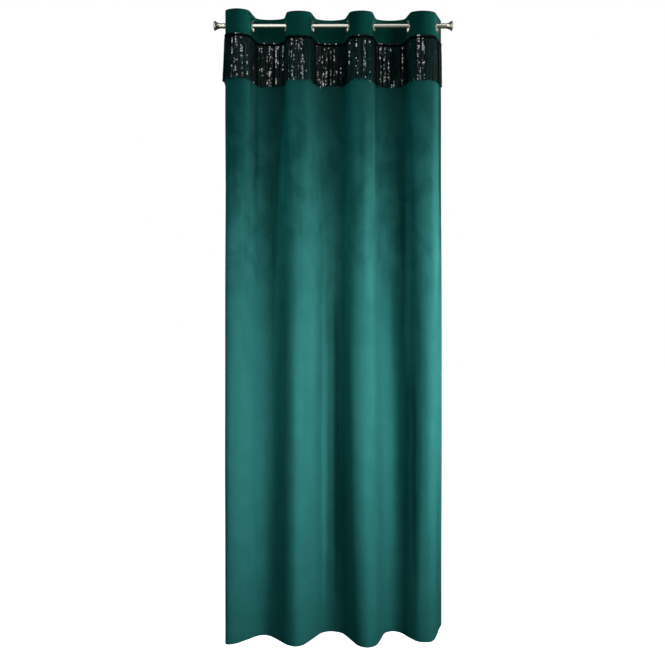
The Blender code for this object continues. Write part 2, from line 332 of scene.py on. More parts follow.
def plan_bends(z):
    """The points that the plan bends round at height z, from the left edge to the right one."""
    heights = np.array([level["z"] for level in LEVELS])
    rows = [
        [*level["left_edge"], *level["right_edge"], level["right_bend"], level["left_lead"],
         *np.ravel(level["folds"])]
        for level in LEVELS
    ]
    row = eased(heights, np.array(rows), z)
    left, right, right_bend, left_lead, folds = row[0:2], row[2:4], row[4], row[5], row[6:].reshape(-1, 3)
    starts = [np.array((x_left, depth)) for x_left, _, depth in folds]
    starts[0][1] *= left_lead
    ends = [np.array((x_right, depth)) for _, x_right, depth in folds]
    crowns = [np.array((0.5 * (a + b), CROWN_FULLNESS * depth)) for a, b, depth in folds]
    bends = [left, along(left, starts[0], 1 - SIDE_BEND)]
    for number in range(len(folds)):
        bends += [starts[number], crowns[number], ends[number]]
        if number + 1 < len(folds):
            following = starts[number + 1]
            bends.append(along(ends[number], following, SIDE_BEND))
            bends.append(along(ends[number], following, 1 - SIDE_BEND))
    return bends + [along(ends[-1], right, right_bend), right]


class Plan:
    """The cloth's curve at one height, seen from above and read by the distance along the cloth."""

    def __init__(self, z):
        bends = plan_bends(z)
        t = (np.arange(BEND_STEPS) / BEND_STEPS)[:, None]
        pieces = []
        for i in range(1, len(bends) - 1):
            start = bends[0] if i == 1 else 0.5 * (bends[i - 1] + bends[i])
            end = bends[-1] if i == len(bends) - 2 else 0.5 * (bends[i] + bends[i + 1])
            pieces.append((1 - t) ** 2 * start + 2 * t * (1 - t) * bends[i] + t**2 * end)
        curve = np.vstack([*pieces, bends[-1]])
        low, high = 0.5, 1.6
        for _ in range(30):
            gather = 0.5 * (low + high)
            if np.hypot(*np.diff(curve * (1.0, gather), axis=0).T).sum() < PANEL_WIDTH:
                low = gather
            else:
                high = gather
        self.curve = curve * (1.0, gather)
        self.run = np.concatenate([[0.0], np.cumsum(np.hypot(*np.diff(self.curve, axis=0).T))])
        run = np.gradient(self.curve, axis=0)
        run /= np.linalg.norm(run, axis=1, keepdims=True)
        self.normals = np.column_stack([run[:, 1], -run[:, 0]])

    def normal(self, distance):
        """Unit vectors square to the cloth at these distances, towards the room."""
        found = np.column_stack([np.interp(distance, self.run, self.normals[:, i]) for i in (0, 1)])
        return found / np.linalg.norm(found, axis=1, keepdims=True)

    def point(self, distance, off):
        """Plan points at these distances, moved off the cloth's middle towards the room."""
        place = np.column_stack([np.interp(distance, self.run, self.curve[:, i]) for i in (0, 1)])
        return place + np.reshape(off, (-1, 1)) * self.normal(distance)

    def point_beyond(self, distance, off):
        """As point, but distances just outside the cloth go straight on past its edge."""
        inside = np.clip(distance, 0.0, self.run[-1])
        normal = self.normal(inside)
        run = np.column_stack([-normal[:, 1], normal[:, 0]])
        return self.point(inside, off) + (distance - inside)[:, None] * run

    def forwardness(self, distance):
        """1 on the front of a fold, falling to 0 along its sides."""
        depth = np.interp(distance, self.run, self.curve[:, 1])
        return np.clip(-depth / FRONT_DEPTH - 0.5, 0.0, 1.0)

    def rod_crossings(self):
        """Where the cloth crosses the rod's axis: the distance along it, the x, and its direction."""
        found = []
        for i, (a, b) in enumerate(zip(self.curve, self.curve[1:])):
            if (a[1] < 0.0) != (b[1] < 0.0):
                share = a[1] / (a[1] - b[1])
                distance = along(self.run[i], self.run[i + 1], share)
                found.append((distance, along(a[0], b[0], share), math.atan2(b[1] - a[1], b[0] - a[0])))
        return found


# Helpers for meshes


def deselect():
    bpy.ops.object.select_all(action="DESELECT")


def pick(piece):
    """Selects the piece alone and makes it the active one."""
    deselect()
    bpy.context.view_layer.objects.active = piece
    piece.select_set(True)


def begin(name, add, **values):
    """Adds a primitive, alone in the selection, and gives it its name."""
    deselect()
    add(**values)
    made = bpy.context.object
    made.name = name
    made.data.name = name
    return made


def flat_grid(name, columns, rows):
    """A grid one unit wide and high, still flat, for a sheet to be laid from."""
    return begin(name, bpy.ops.mesh.primitive_grid_add, x_subdivisions=columns, y_subdivisions=rows, size=1.0)


def in_scene(name, data):
    made = bpy.data.objects.new(name, data)
    bpy.context.scene.collection.objects.link(made)
    return made


def points_of(piece):
    points = np.empty(3 * len(piece.data.vertices))
    piece.data.vertices.foreach_get("co", points)
    return points.reshape(-1, 3)


def put_points(piece, points):
    piece.data.vertices.foreach_set("co", np.ascontiguousarray(points, np.float32).ravel())
    piece.data.update()


def mesh_piece(name, points, faces):
    """One piece from arrays of points and of faces with the same number of corners."""
    mesh = bpy.data.meshes.new(name)
    mesh.vertices.add(len(points))
    mesh.vertices.foreach_set("co", np.ascontiguousarray(points, np.float32).ravel())
    corners = faces.shape[1]
    mesh.loops.add(faces.size)
    mesh.loops.foreach_set("vertex_index", np.ascontiguousarray(faces, np.int32).ravel())
    mesh.polygons.add(len(faces))
    mesh.polygons.foreach_set("loop_start", np.arange(0, faces.size, corners, dtype=np.int32))
    mesh.update(calc_edges=True)
    return in_scene(name, mesh)


def lay_cloth(piece, metres):
    """Gives a sheet its map in metres across and along the cloth, from one pair a vertex."""
    corner = np.empty(len(piece.data.loops), int)
    piece.data.loops.foreach_get("vertex_index", corner)
    cloth = piece.data.uv_layers[0]
    cloth.name = "cloth"
    cloth.uv.foreach_set("vector", metres[corner].astype(np.float32).ravel())


def apply_modifiers(piece):
    pick(piece)
    for modifier in list(piece.modifiers):
        bpy.ops.object.modifier_apply(modifier=modifier.name)


def grid_cells(flat, columns, rows):
    """Each vertex's column from the left and row from the top, of a grid that is still flat."""
    column = np.rint((flat[:, 0] + 0.5) * columns).astype(int)
    row = np.rint((0.5 - flat[:, 1]) * rows).astype(int)
    return column, row


def thicken(piece, thickness):
    """Gives a sheet its thickness, half to each side."""
    solid = piece.modifiers.new("thickness", "SOLIDIFY")
    solid.thickness = thickness
    solid.offset = 0.0
    return solid


def settle(piece, matrix=None):
    """Puts the piece's place into its mesh, so that its object sits at the origin."""
    bpy.context.view_layer.update()
    piece.data.transform((matrix or Matrix.Identity(4)) @ piece.matrix_world)
    piece.matrix_world = Matrix.Identity(4)
    return piece


def smooth(piece, angle=40.0):
    pick(piece)
    bpy.ops.object.shade_smooth_by_angle(angle=math.radians(angle))
    return piece


def copy_of(piece, name):
    made = piece.copy()
    made.data = piece.data.copy()
    made.name = name
    made.data.name = name
    bpy.context.scene.collection.objects.link(made)
    return made


# Finishes


class Wire:
    """An output of a node, with arithmetic that adds Math nodes."""

    def __init__(self, finish, socket):
        self.finish = finish
        self.socket = socket

    def reckon(self, operation, first, second=0.0):
        return self.finish.node("ShaderNodeMath", {"operation": operation}, {0: first, 1: second})

    def __add__(self, other):
        return self.reckon("ADD", self, other)

    def __radd__(self, other):
        return self.reckon("ADD", other, self)

    def __sub__(self, other):
        return self.reckon("SUBTRACT", self, other)

    def __rsub__(self, other):
        return self.reckon("SUBTRACT", other, self)

    def __mul__(self, other):
        return self.reckon("MULTIPLY", self, other)

    def __rmul__(self, other):
        return self.reckon("MULTIPLY", other, self)

    def sine(self):
        return self.reckon("SINE", self)


class Finish:
    """A material that is built node by node round its Principled shader."""

    def __init__(self, name, **constants):
        self.material = bpy.data.materials.new(name)
        self.material.use_nodes = True
        self.tree = self.material.node_tree
        self.shader = self.tree.nodes["Principled BSDF"]
        self.set(**constants)

    def fill(self, socket, value):
        if isinstance(value, Wire):
            self.tree.links.new(value.socket, socket)
        elif isinstance(value, tuple) and len(value) == 3 and socket.type == "RGBA":
            socket.default_value = (*value, 1.0)
        else:
            socket.default_value = value

    def set(self, **values):
        """Fills sockets of the Principled shader, with underscores for the spaces in their names."""
        for name, value in values.items():
            self.fill(self.shader.inputs[name.replace("_", " ")], value)

    def node(self, kind, settings=None, sockets=None, output=0):
        """Adds a node: its settings first, then the values or links of its sockets."""
        made = self.tree.nodes.new(kind)
        for name, value in (settings or {}).items():
            setattr(made, name, value)
        for key, value in (sockets or {}).items():
            self.fill(made.inputs[key], value)
        return Wire(self, made.outputs[output])

    def place(self):
        """Object coordinates, which are the frame's own metres."""
        return self.node("ShaderNodeTexCoord", output="Object")

    def cloth_place(self):
        """Metres across and along the cloth, as it lay before it was hung."""
        return self.node("ShaderNodeUVMap", {"uv_map": "cloth"})

    def vector(self, operation, first, second=(0.0, 0.0, 0.0), output=0):
        return self.node("ShaderNodeVectorMath", {"operation": operation}, {0: first, 1: second}, output)

    def scaled(self, vector, scale):
        return self.vector("MULTIPLY", vector, scale)

    def split(self, vector):
        parts = self.tree.nodes.new("ShaderNodeSeparateXYZ")
        self.tree.links.new(vector.socket, parts.inputs[0])
        return [Wire(self, parts.outputs[i]) for i in range(3)]

    def noise(self, vector, scale=1.0, detail=2.0, roughness=0.5, distortion=0.0):
        grain = {"Scale": scale, "Detail": detail, "Roughness": roughness, "Distortion": distortion}
        return self.node("ShaderNodeTexNoise", {}, {"Vector": vector, **grain})

    def between(self, value, low, high):
        """The value's place between two limits, eased, from 0 to 1."""
        limits = {"Value": value, "From Min": low, "From Max": high}
        return self.node("ShaderNodeMapRange", {"interpolation_type": "SMOOTHSTEP"}, limits)

    def patch(self, place, middle, half_width, half_height):
        """1 in the middle of a soft oval on the face of the curtain, 0 outside it."""
        off = self.vector("SUBTRACT", place, middle)
        off = self.scaled(off, (1.0 / half_width, 0.0, 1.0 / half_height))
        reach = self.vector("LENGTH", off, output="Value")
        return self.between(reach, 1.0, 0.2)

    def mixed(self, first, second, share):
        """Two colours mixed."""
        return self.node("ShaderNodeMix", {"data_type": "RGBA"}, {0: share, 6: first, 7: second}, output=2)

    def bump(self, height, strength, distance):
        sockets = {"Strength": strength, "Distance": distance, "Height": height}
        self.set(Normal=self.node("ShaderNodeBump", {}, sockets))


def velvet_finish():
    """Bottle green velvet: a short upright pile, lighter and darker in soft patches, partly painted light and
    shade.
    """
    velvet = Finish(
        "bottle green velvet",
        Roughness=0.9,
        Specular_IOR_Level=0.06,
        Sheen_Weight=0.05,
        Sheen_Roughness=0.4,
        Sheen_Tint=(0.6, 1.0, 0.97),
    )
    cloth = velvet.cloth_place()
    place = velvet.place()
    _, _, height = velvet.split(place)
    clouds = velvet.noise(velvet.scaled(cloth, (14.0, 9.0, 1.0)), detail=4.0, roughness=0.55, distortion=0.3)
    strokes = velvet.noise(velvet.scaled(cloth, (75.0, 4.0, 1.0)), detail=3.0)
    pile = velvet.noise(cloth, scale=900.0, detail=1.0)
    worn = velvet.between(height, -0.25, -0.45) * velvet.between(height, -1.25, -0.80)
    brushed = 0.30 * velvet.between(clouds, 0.36, 0.64) + 0.10 * velvet.between(strokes, 0.36, 0.64) - 0.20
    # Random pile tone, to which painted light and shade are added below
    pile_tone_and_shade = 0.5 + (0.28 + 0.62 * worn) * brushed + 0.12 * (pile - 0.5)
    wander = velvet.node("ShaderNodeTexNoise", {}, {"Vector": place, "Scale": 5.0}, output="Color")
    loose = velvet.scaled(wander, WANDER)
    loose = velvet.vector("ADD", place, loose)
    # Patches of pile tone and of painted light and shade
    for x, z, half_width, half_height, lighter in PILE_AND_SHADE_PATCHES:
        middle = (x + 0.5 * WANDER[0], 0.0, z + 0.5 * WANDER[2])
        pile_tone_and_shade = pile_tone_and_shade + lighter * velvet.patch(loose, middle, half_width, half_height)
    # Shade down the right edge and along the top, painted as the patches are
    across, _, _ = velvet.split(cloth)
    right_edge = velvet.between(across, PANEL_WIDTH - 0.040, PANEL_WIDTH - 0.024)
    pile_tone_and_shade = pile_tone_and_shade - 0.9 * right_edge * velvet.between(height, -0.92, -0.64)
    pile_tone_and_shade = pile_tone_and_shade - 0.4 * velvet.between(height, 0.036, 0.042)
    drop = velvet.mixed(VELVET_DEEP, VELVET_LIT, pile_tone_and_shade)
    # The heading above the fringe takes a darker copy of these colours: painted shade
    heading = velvet.mixed(SHADED_HEADING_DEEP, SHADED_HEADING_LIT, pile_tone_and_shade)
    velvet.set(Base_Color=velvet.mixed(drop, heading, velvet.between(height, FRINGE_TOP - 0.02, FRINGE_TOP)))
    velvet.bump(pile, 0.25, 0.0006)
    return velvet.material


def backing_finish():
    """The woven back of the velvet, close and matt."""
    backing = Finish("woven backing", Roughness=0.95, Specular_IOR_Level=0.1, Sheen_Weight=0.1)
    cloth = backing.cloth_place()
    across, down, _ = backing.split(cloth)
    weave = (across * 4200.0).sine() * (down * 4200.0).sine() * 0.5 + 0.5
    slub = backing.noise(backing.scaled(cloth, (400.0, 25.0, 1.0)), detail=2.0)
    ground = 0.5 * weave + 0.5 * slub
    backing.set(Base_Color=backing.mixed((0.012, 0.105, 0.092), (0.022, 0.150, 0.134), ground))
    backing.bump(weave, 0.3, 0.0003)
    return backing.material


def thread_finish(name, colour, sheen):
    thread = Finish(name, Roughness=0.6, Sheen_Weight=sheen, Specular_IOR_Level=0.3)
    twist = thread.noise(thread.place(), scale=2500.0, detail=1.0)
    dark = tuple(0.6 * channel for channel in colour)
    thread.set(Base_Color=thread.mixed(dark, colour, twist))
    thread.bump(twist, 0.4, 0.0002)
    return thread.material


def tape_finish():
    """Black woven braid."""
    braid = Finish("black braid", Roughness=0.75, Specular_IOR_Level=0.15)
    across, down, _ = braid.split(braid.cloth_place())
    ribs = ((across + down) * 2600.0).sine() * ((across - down) * 2600.0).sine() * 0.5 + 0.5
    braid.set(Base_Color=braid.mixed((0.0008, 0.0018, 0.0018), (0.0035, 0.0060, 0.0060), ribs))
    braid.bump(ribs, 0.5, 0.0004)
    return braid.material


def sequin_finish():
    """Glossy, lightly scuffed black foil that picks up a little green, painted into its colour as a
    reflection of the velvet.
    """
    foil = Finish("black sequins", Specular_IOR_Level=1.0, IOR=1.45)
    scuffs = foil.noise(foil.place(), scale=1800.0, detail=2.0)
    foil.set(Base_Color=foil.mixed((0.0008, 0.0070, 0.0055), (0.0030, 0.0170, 0.0140), scuffs))
    foil.set(Roughness=0.055 + 0.07 * scuffs)
    return foil.material


def metal_finish(name, colour, roughness):
    """Satin metal with fine brushed lines and a few dull spots."""
    metal = Finish(name, Metallic=1.0)
    brushed = metal.noise(metal.scaled(metal.place(), (90.0, 2600.0, 2600.0)), detail=2.0)
    dull = metal.noise(metal.place(), scale=70.0, detail=3.0)
    dark = tuple(0.86 * channel for channel in colour)
    metal.set(Base_Color=metal.mixed(dark, colour, 0.5 * brushed + 0.5 * dull))
    metal.set(Roughness=roughness + 0.04 * (brushed - 0.5) + 0.04 * (dull - 0.5))
    metal.bump(brushed, 0.03, 0.00005)
    return metal.material


# Velvet panel


def turned_length():
    """Stations down the velvet's length: height, distance off the panel's middle, and metres of cloth."""
    band_foot = TOP_EDGE - HEADING_TURN
    top = TOP_EDGE - LAYER_OFF
    bottom = BOTTOM_EDGE + LAYER_OFF
    turn = np.linspace(0.0, math.pi, TURN_ROWS + 2)[1:-1]
    band = np.linspace(band_foot, top, BAND_ROWS + 1)
    below = np.linspace(band_foot, LEVELS[0]["z"], UNDER_FRINGE_ROWS + 1)[1:]
    drop = np.linspace(LEVELS[0]["z"], bottom, DROP_ROWS + 1)[1:]
    hem = np.linspace(bottom, BOTTOM_EDGE + HEM_TURN, HEM_ROWS + 1)
    heights = [
        band,
        top + LAYER_OFF * np.sin(turn),
        band[::-1],
        below,
        drop,
        bottom - LAYER_OFF * np.sin(turn),
        hem,
    ]
    offs = [
        np.full(len(band), -LAYER_OFF),
        -LAYER_OFF * np.cos(turn),
        np.full(len(band) + len(below) + len(drop), LAYER_OFF),
        LAYER_OFF * np.cos(turn),
        np.full(len(hem), -LAYER_OFF),
    ]
    heights = np.concatenate(heights)
    offs = np.concatenate(offs)
    metres = np.concatenate([[0.0], np.cumsum(np.hypot(np.diff(heights), np.diff(offs)))])
    return heights, offs, metres


def relief(distance, z):
    """Small soft undulations that real velvet keeps between its folds, below the fringe."""
    fade = np.clip((LEVELS[0]["z"] + 0.03 - z) / 0.25, 0.0, 1.0)
    waves = (
        0.55 * np.sin(distance * 41.0 + 1.1 * np.sin(z * 3.1) + 0.4)
        + 0.35 * np.sin(distance * 67.0 + 1.7 * np.sin(z * 4.3 + 1.0) + 2.1)
        + 0.25 * np.sin(distance * 23.0 + z * 5.2 + 0.9)
    )
    return RELIEF * fade * waves


def velvet_curtain(plan_at, crossings, finishes):
    """The panel in one length: down its front, and turned to the back at the heading and the hem."""
    heights, offs, metres = turned_length()
    rows = len(heights) - 1
    sheet = flat_grid("velvet_curtain", COLUMNS, rows)
    flat = points_of(sheet)
    column, row = grid_cells(flat, COLUMNS, rows)
    distance = column * PANEL_WIDTH / COLUMNS
    points = np.empty_like(flat)
    for number, (z, off) in enumerate(zip(heights, offs)):
        here = row == number
        places = distance[here]
        points[here, :2] = plan_at(z).point(places, off + relief(places, z))
        points[here, 2] = z
    put_points(sheet, points)

    lay_cloth(sheet, np.column_stack([distance, metres[row]]))
    cut_eyelet_holes(sheet, distance, crossings)

    thicken(sheet, LAYER).material_offset = 1
    sheet.data.materials.append(finishes["velvet"])
    sheet.data.materials.append(finishes["backing"])
    apply_modifiers(sheet)
    return smooth(sheet, 60.0)


def side_hem_heights():
    return np.linspace(TOP_EDGE - HEADING_TURN - GAP, BOTTOM_EDGE + HEM_TURN + GAP, DROP_ROWS + 1)


def side_hems(plan_at, finish):
    """The two side edges, turned to the back in a narrow hem between the heading and the foot hem."""
    heights = side_hem_heights()
    turn = np.linspace(0.0, math.pi, TURN_ROWS + 2)
    inwards = np.concatenate([-LAYER_OFF * np.sin(turn), np.linspace(0.0, SIDE_HEM, SIDE_HEM_STEPS + 1)[1:]])
    offs = np.concatenate([LAYER_OFF * np.cos(turn), np.full(SIDE_HEM_STEPS, -LAYER_OFF)])
    made = []
    for name, edge, side in (("side_hem_left", 0.0, 1), ("side_hem_right", PANEL_WIDTH, -1)):
        hem = flat_grid(name, len(offs) - 1, DROP_ROWS)
        flat = points_of(hem)
        column, row = grid_cells(flat, len(offs) - 1, DROP_ROWS)
        points = np.empty_like(flat)
        places = edge + side * inwards
        for number, z in enumerate(heights):
            here = row == number
            points[here, :2] = plan_at(z).point_beyond(places, offs + relief(places, z))[column[here]]
            points[here, 2] = z
        put_points(hem, points)
        lay_cloth(hem, np.column_stack([places[column], TOP_EDGE - heights[row]]))
        thicken(hem, LAYER)
        hem.data.materials.append(finish)
        apply_modifiers(hem)
        made.append(smooth(hem, 60.0))
    return made


def stitches(name, path_of, start, end, finish):
    """A row of short stitches, each a slightly arched thread that lies on the back of the cloth."""
    places = np.arange(start, end, STITCH_STEP)
    shares = np.linspace(-0.5, 0.5, 5)
    arch = THREAD_RADIUS * (1.0 - (2.0 * shares) ** 4)
    points, faces = [], []
    for place in places:
        path = path_of(place + STITCH_LENGTH * shares, arch)
        made, walls = tube(path, THREAD_RADIUS, sum(map(len, points)))
        points.append(made)
        faces.append(walls)
    piece = mesh_piece(name, np.vstack(points), np.vstack(faces))
    piece.data.materials.append(finish)
    return piece


def foot_stitches(plan_at, finish):
    """Along the top of the foot hem, on the back."""
    z = BOTTOM_EDGE + HEM_TURN - STITCH_IN
    plan = plan_at(z)

    def path_of(places, arch):
        off = BACK_FACE - arch + relief(places, z)
        return np.column_stack([plan.point(places, off), np.full(len(places), z)])

    return stitches("foot_hem_stitches", path_of, SIDE_HEM, PANEL_WIDTH - SIDE_HEM, finish)


def side_stitches(plan_at, finish):
    """Down the inner edges of both side hems, on the back."""
    heights = side_hem_heights()
    made = []
    inner_edges = {
        "side_stitches_left": SIDE_HEM - STITCH_IN,
        "side_stitches_right": PANEL_WIDTH - SIDE_HEM + STITCH_IN,
    }
    for name, edge in inner_edges.items():
        place = np.array([edge])
        rows = np.vstack([plan_at(z).point(place, BACK_FACE + relief(place, z)) for z in heights])
        normals = np.vstack([plan_at(z).normal(place) for z in heights])
        seam = np.column_stack([rows, normals])

        def path_of(depths, arch, seam=seam):
            z = heights[0] - depths
            x, y, across, out = [np.interp(depths, heights[0] - heights, seam[:, i]) for i in range(4)]
            return np.column_stack([x - arch * across, y - arch * out, z])

        made.append(stitches(name, path_of, STITCH_STEP, heights[0] - heights[-1] - STITCH_STEP, finish))
    return made


def cut_eyelet_holes(sheet, distance, crossings):
    """Opens the heading where an eyelet goes through, and rounds the edge of each opening."""
    radius = 0.5 * EYELET_BARREL + GAP
    points = points_of(sheet)
    across = distance[:, None] - np.array([place for place, _, _ in crossings])[None, :]
    nearest = np.take_along_axis(across, np.abs(across).argmin(1)[:, None], 1)[:, 0]
    up = points[:, 2] + EYELET_DROP
    reach = np.hypot(nearest, up)

    bpy.ops.object.mode_set(mode="EDIT")
    bpy.ops.mesh.select_all(action="DESELECT")
    bpy.ops.mesh.select_mode(type="FACE")
    bpy.ops.object.mode_set(mode="OBJECT")
    opened = [face for face in sheet.data.polygons if reach[list(face.vertices)].mean() < radius]
    kept = set()
    for face in sheet.data.polygons:
        face.select = False
        kept.update(face.vertices)
    rim = set()
    for face in opened:
        face.select = True
        rim.update(face.vertices)
    inside = set(rim)
    for face in sheet.data.polygons:
        if not face.select:
            inside.difference_update(face.vertices)
    rim -= inside
    for index in rim:
        grow = radius / reach[index]
        place = Vector(points[index])
        shift = nearest[index] * (grow - 1.0)
        run = tangent_at(points, distance, index)
        sheet.data.vertices[index].co = place + run * shift + Vector((0.0, 0.0, up[index] * (grow - 1.0)))
    bpy.ops.object.mode_set(mode="EDIT")
    bpy.ops.mesh.delete(type="FACE")
    bpy.ops.object.mode_set(mode="OBJECT")


def tangent_at(points, distance, index):
    """The direction of the cloth across its width at one of the sheet's vertices."""
    same_height = np.abs(points[:, 2] - points[index, 2]) < 1e-6
    near = same_height & (np.abs(distance - distance[index]) < 1.6 * PANEL_WIDTH / COLUMNS)
    first = points[near][distance[near].argmin()]
    last = points[near][distance[near].argmax()]
    return Vector((*(last - first)[:2], 0.0)).normalized()


# Rod, finials and eyelets


def turned(name, profile, closed=False):
    """A round piece: a circle that is extruded and resized from one point of its profile to the next."""
    radius, height = profile[0]
    start = {"vertices": ROUND_SEGMENTS, "radius": radius, "location": (0.0, 0.0, height)}
    piece = begin(name, bpy.ops.mesh.primitive_circle_add, **start)
    bpy.ops.object.mode_set(mode="EDIT")
    bpy.ops.mesh.select_all(action="SELECT")
    if not closed:
        bpy.ops.mesh.edge_face_add()
        bpy.ops.mesh.select_mode(type="EDGE")
    for (here_radius, here_height), (there_radius, there_height) in zip(profile, profile[1:]):
        rise = (0.0, 0.0, there_height - here_height)
        bpy.ops.mesh.extrude_edges_move(TRANSFORM_OT_translate={"value": rise})
        grow = there_radius / here_radius
        bpy.ops.transform.resize(value=(grow, grow, 1.0), center_override=(0.0, 0.0, there_height))
    if closed:
        bpy.ops.mesh.select_all(action="SELECT")
        bpy.ops.mesh.remove_doubles(threshold=1e-6)
    else:
        bpy.ops.mesh.edge_face_add()
        bpy.ops.mesh.select_all(action="SELECT")
    bpy.ops.mesh.normals_make_consistent(inside=False)
    bpy.ops.object.mode_set(mode="OBJECT")
    return settle(piece)


def rod(finish):
    half = 0.5 * ROD_LENGTH
    radius = 0.5 * ROD_DIAMETER
    edge = EDGE_ROUNDING
    profile = [(radius - edge, -half), (radius, edge - half), (radius, half - edge), (radius - edge, half)]
    bar = turned("curtain_rod", profile)
    bar.data.materials.append(finish)
    return smooth(settle(bar, Matrix.Rotation(math.pi / 2, 4, "Y")))


def finial_profile():
    """Radius, then distance from the rod's end: a grooved collar that opens into a domed trumpet."""
    neck = 0.5 * FINIAL_NECK
    groove = 0.5 * FINIAL_GROOVE
    flare = 0.5 * FINIAL_FLARE
    edge, collar, swell, rim = EDGE_ROUNDING, FINIAL_COLLAR, FINIAL_SWELL, FINIAL_RIM
    profile = [(neck - edge, 0.0), (neck, edge), (neck, collar - 0.0004), (neck - 0.0004, collar)]
    profile += [(groove, collar + 0.0010), (groove, swell - 0.0010), (neck - 0.0003, swell - 0.0003)]
    for step in range(FLARE_STEPS + 1):
        t = step / FLARE_STEPS
        profile.append((neck + (flare - neck) * t**FLARE_POWER, along(swell, rim, t)))
    lip = rim + FINIAL_LIP
    profile.append((flare, along(rim, lip, 0.5)))
    dome = FINIAL_LENGTH - lip
    for step in range(1, DOME_STEPS):
        t = 0.5 * math.pi * step / DOME_STEPS
        profile.append((flare * math.cos(t) ** DOME_POWER, lip + dome * math.sin(t)))
    return profile


def finial(name, side, finish):
    end = turned(name, finial_profile())
    end.data.materials.append(finish)
    place = Matrix.Translation((side * (0.5 * ROD_LENGTH + GAP), 0.0, 0.0))
    return smooth(settle(end, place @ Matrix.Rotation(side * math.pi / 2, 4, "Y")), 35.0)


def eyelet_ring(finish):
    """An eyelet on the Z axis: two rounded cheeks with a rolled lip, and the barrel through the cloth."""
    bore = 0.5 * EYELET_BORE
    barrel = 0.5 * EYELET_BARREL
    outer = 0.5 * EYELET_OUTER
    groove = 0.5 * PANEL_THICKNESS + GAP
    face = groove + EYELET_CHEEK
    cheek = [
        (outer - 0.0004, groove),
        (outer, groove + 0.0004),
        (outer - 0.0003, groove + 0.0009),
        (outer - 0.0012, face - 0.0004),
        (outer - 0.0026, face - 0.0001),
        (bore + 0.0034, face),
        (bore + 0.0020, face),
        (bore + 0.0010, face - 0.0002),
        (bore + 0.0003, face - 0.0007),
        (bore, face - 0.0014),
    ]
    back = [(radius, -height) for radius, height in reversed(cheek)]
    profile = [(barrel, groove), *cheek, *back, (barrel, -groove), (barrel, groove)]
    ring = turned("eyelet_model", profile, closed=True)
    ring.data.materials.append(finish)
    return smooth(ring, 50.0)


def eyelets(crossings, finish):
    model = eyelet_ring(finish)
    made = []
    for number, (_, x, angle) in enumerate(crossings, 1):
        ring = copy_of(model, f"curtain_eyelet_{number}")
        across = Matrix.Rotation(angle - math.pi / 2, 4, "Z")
        lie_along_x = Matrix.Rotation(math.pi / 2, 4, "Y")
        settle(ring, Matrix.Translation((x, 0.0, -EYELET_DROP)) @ across @ lie_along_x)
        made.append(ring)
    bpy.data.objects.remove(model, do_unlink=True)
    return made


# Sequin fringe


def fringe_tape(heading, finish):
    """The braid that carries the strings, sewn along the foot of the heading."""
    tape = flat_grid("fringe_tape", TAPE_COLUMNS, TAPE_ROWS)
    flat = points_of(tape)
    distance = along(GAP, PANEL_WIDTH - GAP, flat[:, 0] + 0.5)
    down = 0.5 - flat[:, 1]
    off = 0.5 * PANEL_THICKNESS + TAPE_GAP + 0.5 * FRINGE_THICKNESS
    points = np.column_stack([heading.point(distance, off), FRINGE_TOP - TAPE_HEIGHT * down])
    put_points(tape, points)
    lay_cloth(tape, np.column_stack([distance, TAPE_HEIGHT * down]))
    thicken(tape, FRINGE_THICKNESS)
    tape.data.materials.append(finish)
    apply_modifiers(tape)
    return smooth(tape, 40.0)


def sequin_model():
    """One cupped sequin of eight facets, hollow towards -Y, of radius 1."""
    cup = begin(
        "sequin_model", bpy.ops.mesh.primitive_cone_add, vertices=8, radius1=1.0, radius2=0.0,
        depth=SEQUIN_CUP, end_fill_type="TRIFAN",
    )
    points = points_of(cup)
    middle = np.hypot(points[:, 0], points[:, 1]) < 1e-4
    hollow = middle & (points[:, 2] < 0.0)
    points[hollow, 2] = points[middle, 2].max() - SEQUIN_SHEET
    put_points(cup, points)
    cup.data.transform(Matrix.Rotation(-math.pi / 2, 4, "X"))
    corners = np.array([list(face.vertices) for face in cup.data.polygons])
    shape = points_of(cup)
    bpy.data.objects.remove(cup, do_unlink=True)
    return shape, corners


def string_paths(heading):
    """Each string's distance along the cloth, its foot, how far it hangs off there, and its stagger."""
    uneven = np.random.default_rng(STRAND_SEED)
    chance = np.random.default_rng(STRING_SEED)
    pitch = PANEL_WIDTH / STRAND_COUNT
    for number in range(STRAND_COUNT):
        middle = pitch * (number + 0.5)
        fall = STRAND_FALL_OFF + STRAND_FLARE * heading.forwardness(middle)
        foot = FRINGE_TOP - FRINGE_LENGTH + uneven.uniform(-1.0, 1.0) * FRINGE_UNEVEN
        for string in range(STRINGS_A_STRAND):
            place = middle + pitch * ((string + 0.5) / STRINGS_A_STRAND - 0.5)
            stagger = STRING_STAGGER * (1 - 2 * (string % 2))
            yield place, foot + chance.uniform(-1.0, 1.0) * SEQUIN_RADIUS, fall, stagger


def string_off(z, foot, fall, stagger):
    """How far a string's middle stands off the panel's middle at height z."""
    tape_foot = FRINGE_TOP - TAPE_HEIGHT
    bend = along(tape_foot, foot, 0.25)
    stand = np.interp(-z, [-tape_foot, -bend, -foot], [TAPE_GAP, STRAND_STAND_OFF, fall])
    return 0.5 * PANEL_THICKNESS + 0.5 * FRINGE_THICKNESS + stand + stagger


def placed(shape, corners, centres, turns):
    """Copies of a shape, each turned by its matrix and moved to its centre, as points and faces."""
    points = np.einsum("nij,pj->npi", turns, shape) + centres[:, None, :]
    faces = corners[None, :, :] + (np.arange(len(centres)) * len(shape))[:, None, None]
    return points.reshape(-1, 3), faces.reshape(-1, corners.shape[1])


def turns_from(yaw, tilt, roll):
    """Matrices that roll a shape in its own plane, tip it, and turn it about Z."""
    def about(axis, angle):
        i, j = [(1, 2), (2, 0), (0, 1)][axis]
        made = np.tile(np.eye(3), (len(angle), 1, 1))
        made[:, i, i] = made[:, j, j] = np.cos(angle)
        made[:, i, j] = -np.sin(angle)
        made[:, j, i] = np.sin(angle)
        return made

    return about(2, yaw) @ about(0, tilt) @ about(1, roll)


def facing_of(heading, distance):
    """The angle about Z that turns a sequin's face from -Y to the way the cloth faces."""
    facing = heading.normal(distance)
    return np.arctan2(facing[:, 0], -facing[:, 1])


